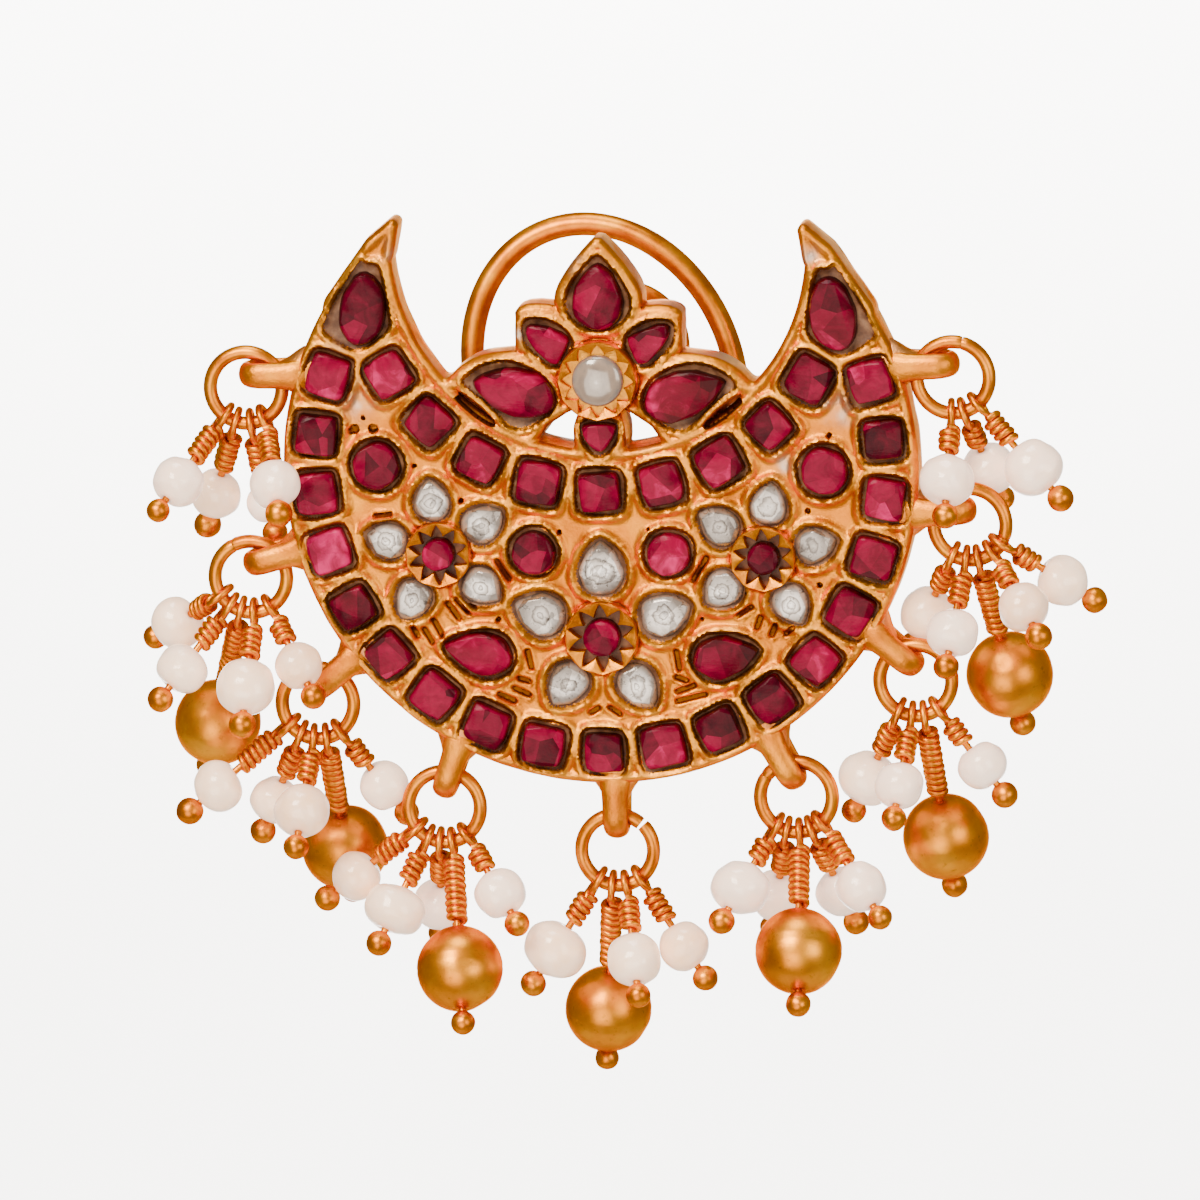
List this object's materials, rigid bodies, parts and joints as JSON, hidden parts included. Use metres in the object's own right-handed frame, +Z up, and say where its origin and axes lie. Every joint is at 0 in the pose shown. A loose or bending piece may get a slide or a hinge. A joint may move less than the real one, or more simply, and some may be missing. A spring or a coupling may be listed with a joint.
{
  "type": "chandbali earring",
  "caption": "Crescent chandbali earring in gilt silver with a lotus, set rubies and polki, hung with pearl and gold bead clusters, on a post with a nut and a hinged loop.",
  "frame": {"origin": "on the ear post's axis at the crescent's back face, behind the middle of the lotus", "axes": "-Y is the front, +Y runs along the post to the back, +X is right and +Z is up as worn"},
  "size_m": [0.0535, 0.0191, 0.0486],
  "materials": {
    "gilt_silver": "matt gilt, burnished on its edges",
    "ruby": "hand cut and polished, on foil",
    "polki": "uncut diamond slice on foil",
    "pearl": "nacre lustre"
  },
  "bodies": {
    "earring": {"gold_frame": "gilt_silver", "outer_row_rubies": "ruby", "inner_row_rubies": "ruby", "lotus_polki": "polki", "horn_ruby_left": "ruby", "horn_ruby_right": "ruby", "round_ruby_outer_left": "ruby", "round_ruby_outer_right": "ruby", "round_ruby_inner_left": "ruby", "round_ruby_inner_right": "ruby", "pear_ruby_left": "ruby", "pear_ruby_right": "ruby", "lotus_ruby_top": "ruby", "lotus_ruby_upper_left": "ruby", "lotus_ruby_upper_right": "ruby", "lotus_ruby_side_left": "ruby", "lotus_ruby_side_right": "ruby", "lotus_ruby_bottom": "ruby", "flower_left_ruby": "ruby", "flower_right_ruby": "ruby", "flower_bottom_ruby": "ruby", "flower_left_petals": "polki", "flower_right_petals": "polki", "flower_bottom_petals": "polki", "jump_ring_a": "gilt_silver", "jump_ring_b": "gilt_silver", "jump_ring_c": "gilt_silver", "jump_ring_d": "gilt_silver", "jump_ring_e": "gilt_silver", "jump_ring_f": "gilt_silver", "jump_ring_g": "gilt_silver", "jump_ring_h": "gilt_silver", "jump_ring_i": "gilt_silver", "head_pins_a": "gilt_silver", "head_pins_b": "gilt_silver", "head_pins_c": "gilt_silver", "head_pins_d": "gilt_silver", "head_pins_e": "gilt_silver", "head_pins_f": "gilt_silver", "head_pins_g": "gilt_silver", "head_pins_h": "gilt_silver", "head_pins_i": "gilt_silver", "pearls_a": "pearl", "pearls_b": "pearl", "pearls_c": "pearl", "pearls_d": "pearl", "pearls_e": "pearl", "pearls_f": "pearl", "pearls_g": "pearl", "pearls_h": "pearl", "pearls_i": "pearl", "gold_bead_b": "gilt_silver", "gold_bead_c": "gilt_silver", "gold_bead_d": "gilt_silver", "gold_bead_e": "gilt_silver", "gold_bead_f": "gilt_silver", "gold_bead_g": "gilt_silver", "gold_bead_h": "gilt_silver"},
    "nut": {"ear_nut": "gilt_silver"},
    "loop": {"omega_loop": "gilt_silver"}
  },
  "joints": [
    {"name": "omega_hinge", "type": "hinge", "parent": "earring", "child": "loop", "pos_m": [0.00075, 0.0013, -0.01071], "axis": [-1, 0, 0], "range_deg": [-10, 95]},
    {"name": "nut_slide", "type": "slide", "parent": "earring", "child": "nut", "axis": [0, 1, 0], "range_m": [-0.0035, 0.0025]}
  ]
}
